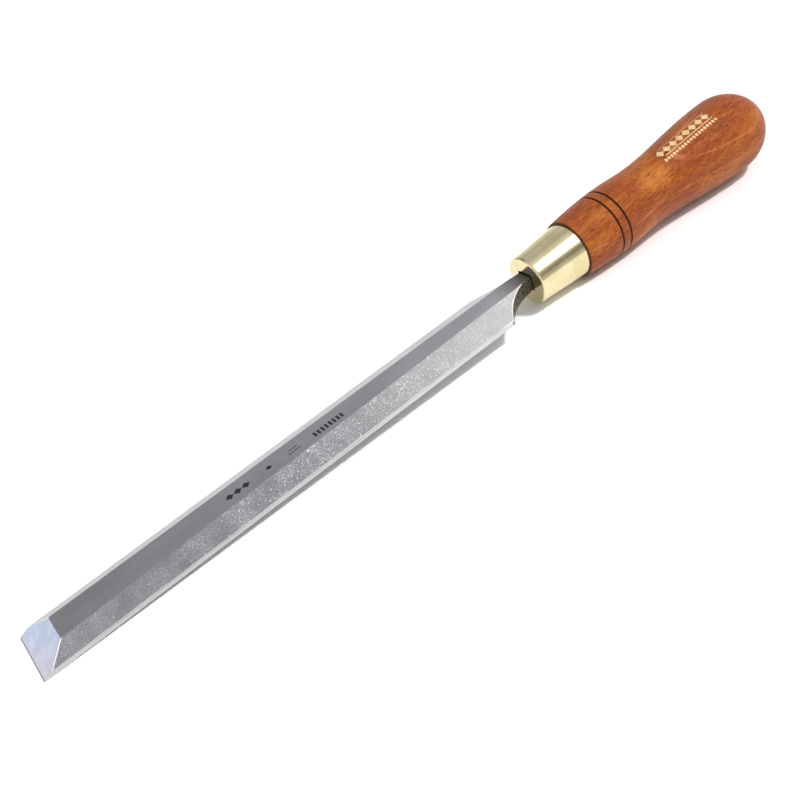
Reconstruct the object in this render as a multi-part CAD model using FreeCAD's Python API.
"""Long bench chisel, 1 inch: bevel-edged tanged blade, pierced brass ferrule, turned hardwood handle.

Frame: the origin is the middle of the cutting edge, on the flat back of the blade.
+X runs along the tool towards the butt of the handle, +Y across the blade, +Z up through its thickness.
The back of the blade lies in the plane z = 0. All lengths are in millimetres and all angles in degrees.
"""
import FreeCAD, Part
import math
import os

# ---- Blade -------------------------------------------------------------------------------------
BLADE_WIDTH = 25.4          # nominal 1 inch
SIDE_LAND = 1.85            # height of the flat side below each long bevel
SIDE_BEVEL = 26.1           # slope of the two long side bevels
EDGE_LENGTH = 11.2          # length of the ground cutting bevel, measured along the back
EDGE_THICKNESS = 5.0        # blade thickness where the cutting bevel starts
HONED_LENGTH = 1.1          # length of the honed micro bevel at the very edge
HONED_ANGLE = 30.0
SHOULDER_X = 200.7          # where the full width ends
SHOULDER_THICKNESS = 6.25   # the blade thickens evenly towards its shoulders
COVE_RADIUS = 23.0          # concave shoulders, seen from above
CORNER_RADIUS = 1.2         # the shoulders' corners are eased

# ---- Neck and tang -----------------------------------------------------------------------------
NECK_WIDTH = 6.0
BACK_END_X = 217.5          # the flat back stops just short of the ferrule
NECK_RELIEF = 0.4           # and the neck's underside is filed up by this much to pass into it
TANG_WIDTH = 5.8            # square tang, across the flats where it enters the wood
TANG_TIP = 3.6
TANG_END_X = 287.0

# ---- Ferrule -----------------------------------------------------------------------------------
FERRULE_X = 219.5           # outer face of the ferrule's closed end
FERRULE_LENGTH = 22.5
FERRULE_FRONT_R = 10.05
FERRULE_REAR_R = 11.5
FERRULE_RIM_R = 0.95        # rounding of the drawn front rim
FERRULE_WALL = 1.1
FERRULE_FACE = 1.5          # thickness of the closed end
NECK_CLEARANCE = 0.5        # gap left beside and above the neck where it passes the ferrule
NECK_SEAT = 0.3             # gap left below it

# ---- Handle ------------------------------------------------------------------------------------
AXIS_Z = 3.1                # the handle and ferrule are turned about a line this far above the back
COLLAR_R = 12.2             # the wood stands a little proud of the ferrule
COLLAR_EASE = 0.3
CREST_X, CREST_R = 266.5, 13.75
WAIST_X, WAIST_R = 284.0, 13.03
BELLY_X, BELLY_R = 333.0, 16.6
BUTT_X = 352.0
GROOVE_X = (258.9, 263.2)   # two burnt decorative lines
GROOVE_DEPTH = 0.45
GROOVE_WIDTH = 0.9

# ---- Tang socket -------------------------------------------------------------------------------
BORE_FRONT_R = 5.2          # stepped drilling: a wide hole for the tang's root, a narrow one for its tip
BORE_STEP_X = 256.0
BORE_REAR_R = 4.4
BORE_END_X = 290.0

NECK_END_X = FERRULE_X + FERRULE_FACE
FERRULE_END_X = FERRULE_X + FERRULE_LENGTH
RAMP = (SHOULDER_THICKNESS - EDGE_THICKNESS) / (SHOULDER_X - EDGE_LENGTH)
X_AXIS = FreeCAD.Vector(1, 0, 0)


def point(x, y, z=0.0):
    return FreeCAD.Vector(x, y, z)


def line(start, end):
    return Part.makeLine(start, end)


def arc(start, middle, end):
    return Part.Arc(start, middle, end).toShape()


def blade_top(x):
    """Thickness of the blade and neck at x, behind the cutting bevel."""
    return EDGE_THICKNESS + RAMP * (x - EDGE_LENGTH)


def s_curve(x0, r0, x1, r1, pull0, pull1):
    """Smooth outline between two places where the handle runs parallel to its axis."""
    span = x1 - x0
    curve = Part.BezierCurve()
    curve.setPoles([point(x0, r0), point(x0 + pull0 * span, r0), point(x1 - pull1 * span, r1), point(x1, r1)])
    return curve.toShape()


def turned(edges):
    """Solid of revolution about the handle's axis from a closed outline of (x, radius) edges."""
    outline = Part.Face(Part.Wire(edges))
    solid = outline.revolve(point(0, 0), X_AXIS, 360)
    solid.translate(point(0, 0, AXIS_Z))
    return solid


def square_bar(x0, size0, x1, size1):
    """Tapered square bar on the handle's axis."""
    wires = []
    for x, size in ((x0, size0), (x1, size1)):
        h = size / 2
        low, high = AXIS_Z - h, AXIS_Z + h
        corners = [point(x, -h, low), point(x, h, low), point(x, h, high), point(x, -h, high)]
        wires.append(Part.makePolygon(corners + corners[:1]))
    return Part.makeLoft(wires, True, True)


def plan_prism():
    """Blade and neck seen from above, with the concave shoulders, extruded straight up."""
    half = BLADE_WIDTH / 2
    neck = NECK_WIDTH / 2
    centre_y = neck + COVE_RADIUS
    sweep = math.acos((centre_y - half) / COVE_RADIUS)
    corner_x = FERRULE_X - COVE_RADIUS * math.sin(sweep)
    mid = sweep / 2
    mid_x = FERRULE_X - COVE_RADIUS * math.sin(mid)
    mid_y = centre_y - COVE_RADIUS * math.cos(mid)
    edges = [
        line(point(0, half), point(corner_x, half)),
        arc(point(corner_x, half), point(mid_x, mid_y), point(FERRULE_X, neck)),
        line(point(FERRULE_X, neck), point(NECK_END_X, neck)),
        line(point(NECK_END_X, neck), point(NECK_END_X, -neck)),
        line(point(NECK_END_X, -neck), point(FERRULE_X, -neck)),
        arc(point(FERRULE_X, -neck), point(mid_x, -mid_y), point(corner_x, -half)),
        line(point(corner_x, -half), point(0, -half)),
        line(point(0, -half), point(0, half)),
    ]
    prism = Part.Face(Part.Wire(edges)).extrude(point(0, 0, 2 * SHOULDER_THICKNESS))
    corners = []
    for edge in prism.Edges:
        centre = edge.CenterOfMass
        on_corner = abs(centre.x - corner_x) < 0.01 and abs(abs(centre.y) - half) < 0.01
        if on_corner and edge.BoundBox.ZLength > SHOULDER_THICKNESS:
            corners.append(edge)
    return prism.makeFillet(CORNER_RADIUS, corners)


def side_prism():
    """Blade and neck seen from the side: flat back, honed edge, cutting bevel and tapered top."""
    rise = HONED_LENGTH * math.tan(math.radians(HONED_ANGLE))
    relief_x = (BACK_END_X + FERRULE_X) / 2
    outline = [
        point(0, -BLADE_WIDTH, 0),
        point(HONED_LENGTH, -BLADE_WIDTH, rise),
        point(EDGE_LENGTH, -BLADE_WIDTH, EDGE_THICKNESS),
        point(NECK_END_X, -BLADE_WIDTH, blade_top(NECK_END_X)),
        point(NECK_END_X, -BLADE_WIDTH, NECK_RELIEF),
        point(relief_x, -BLADE_WIDTH, NECK_RELIEF),
        point(BACK_END_X, -BLADE_WIDTH, 0),
    ]
    face = Part.Face(Part.makePolygon(outline + outline[:1]))
    return face.extrude(point(0, 2 * BLADE_WIDTH, 0))


def bevel_cutter(side):
    """Waste removed above one long side bevel; side is +1 or -1."""
    slope = math.tan(math.radians(SIDE_BEVEL))
    top = 2 * SHOULDER_THICKNESS
    outer_y = BLADE_WIDTH
    outer_z = SIDE_LAND - slope * (outer_y - BLADE_WIDTH / 2)
    inner_y = BLADE_WIDTH / 2 - (top - SIDE_LAND) / slope
    outline = [
        point(-1, side * outer_y, outer_z),
        point(-1, side * outer_y, top),
        point(-1, side * inner_y, top),
    ]
    face = Part.Face(Part.makePolygon(outline + outline[:1]))
    return face.extrude(point(NECK_END_X + 2, 0, 0))


def tang():
    return square_bar(NECK_END_X, TANG_WIDTH, TANG_END_X, TANG_TIP)


def blade():
    """One forging: blade, neck and the tang hidden in the handle."""
    steel = plan_prism().common(side_prism())
    steel = steel.cut(bevel_cutter(1)).cut(bevel_cutter(-1))
    return steel.fuse(tang()).removeSplitter()


def ferrule_inside(x):
    """Inner radius of the tapered ferrule at x."""
    taper = (FERRULE_REAR_R - FERRULE_FRONT_R) / FERRULE_LENGTH
    return FERRULE_FRONT_R - FERRULE_WALL + taper * (x - FERRULE_X)


def ferrule():
    """Drawn brass cup with a closed front face, pierced for the neck."""
    lean = 1 - math.sqrt(0.5)
    rim_x = FERRULE_X + FERRULE_RIM_R
    face_r = FERRULE_FRONT_R - FERRULE_RIM_R
    inner_front = point(NECK_END_X, ferrule_inside(NECK_END_X))
    inner_rear = point(FERRULE_END_X, ferrule_inside(FERRULE_END_X))
    outer_rear = point(FERRULE_END_X, FERRULE_REAR_R)
    rim_middle = point(FERRULE_X + FERRULE_RIM_R * lean, FERRULE_FRONT_R - FERRULE_RIM_R * lean)
    cup = turned([
        line(point(FERRULE_X, 0), point(FERRULE_X, face_r)),
        arc(point(FERRULE_X, face_r), rim_middle, point(rim_x, FERRULE_FRONT_R)),
        line(point(rim_x, FERRULE_FRONT_R), outer_rear),
        line(outer_rear, inner_rear),
        line(inner_rear, inner_front),
        line(inner_front, point(NECK_END_X, 0)),
        line(point(NECK_END_X, 0), point(FERRULE_X, 0)),
    ])
    width = NECK_WIDTH + 2 * NECK_CLEARANCE
    low = NECK_RELIEF - NECK_SEAT
    high = blade_top(NECK_END_X) + NECK_CLEARANCE
    hole = Part.makeBox(2 * FERRULE_FACE, width, high - low)
    hole.translate(point(FERRULE_X - FERRULE_FACE / 2, -width / 2, low))
    return cup.cut(hole)


def socket():
    """The stepped round hole drilled up the handle for the tang."""
    wide = Part.makeCylinder(BORE_FRONT_R, BORE_STEP_X - NECK_END_X, point(NECK_END_X, 0, AXIS_Z), X_AXIS)
    narrow = Part.makeCylinder(BORE_REAR_R, BORE_END_X - NECK_END_X, point(NECK_END_X, 0, AXIS_Z), X_AXIS)
    return wide.fuse(narrow).removeSplitter()


def tang_bedding():
    """Hardened glue that fills the drilled hole round the square tang."""
    return socket().cut(tang())


def groove(x, surface_r):
    """Ring of wood removed by one V-shaped decorative cut."""
    half = GROOVE_WIDTH / 2
    apex = point(x, surface_r - GROOVE_DEPTH)
    left = point(x - 2 * half, surface_r + GROOVE_DEPTH)
    right = point(x + 2 * half, surface_r + GROOVE_DEPTH)
    return turned([line(apex, left), line(left, right), line(right, apex)])


def crest_radius(x):
    """Radius of the handle between its collar and its crest, on the same arc as the outline."""
    rise = CREST_R - COLLAR_R
    run = CREST_X - FERRULE_END_X
    bend = (run * run + rise * rise) / (2 * rise)
    return CREST_R - bend + math.sqrt(bend * bend - (CREST_X - x) ** 2)


def handle():
    """Turned handle: tenon for the ferrule, swell with two burnt lines, waist, belly and domed butt."""
    tenon_front = point(NECK_END_X, ferrule_inside(NECK_END_X))
    tenon_rear = point(FERRULE_END_X, ferrule_inside(FERRULE_END_X))
    ease_x = FERRULE_END_X + COLLAR_EASE
    collar_edge = point(FERRULE_END_X, COLLAR_R - COLLAR_EASE)
    collar = point(ease_x, crest_radius(ease_x))
    swell_x = (ease_x + CREST_X) / 2
    dome = Part.Ellipse(point(BELLY_X, 0), BUTT_X - BELLY_X, BELLY_R)
    wood = turned([
        line(point(NECK_END_X, 0), tenon_front),
        line(tenon_front, tenon_rear),
        line(tenon_rear, collar_edge),
        line(collar_edge, collar),
        arc(collar, point(swell_x, crest_radius(swell_x)), point(CREST_X, CREST_R)),
        s_curve(CREST_X, CREST_R, WAIST_X, WAIST_R, 0.4, 0.4),
        s_curve(WAIST_X, WAIST_R, BELLY_X, BELLY_R, 0.3, 0.38),
        Part.ArcOfEllipse(dome, 0, math.pi / 2).toShape(),
        line(point(BUTT_X, 0), point(NECK_END_X, 0)),
    ])
    wood = wood.cut(socket())
    for x in GROOVE_X:
        wood = wood.cut(groove(x, crest_radius(x)))
    return wood


os.makedirs("parts", exist_ok=True)
for name, shape in (
    ("blade", blade()),
    ("ferrule", ferrule()),
    ("tang_bedding", tang_bedding()),
    ("handle", handle()),
):
    shape.exportStep("parts/" + name + ".step")
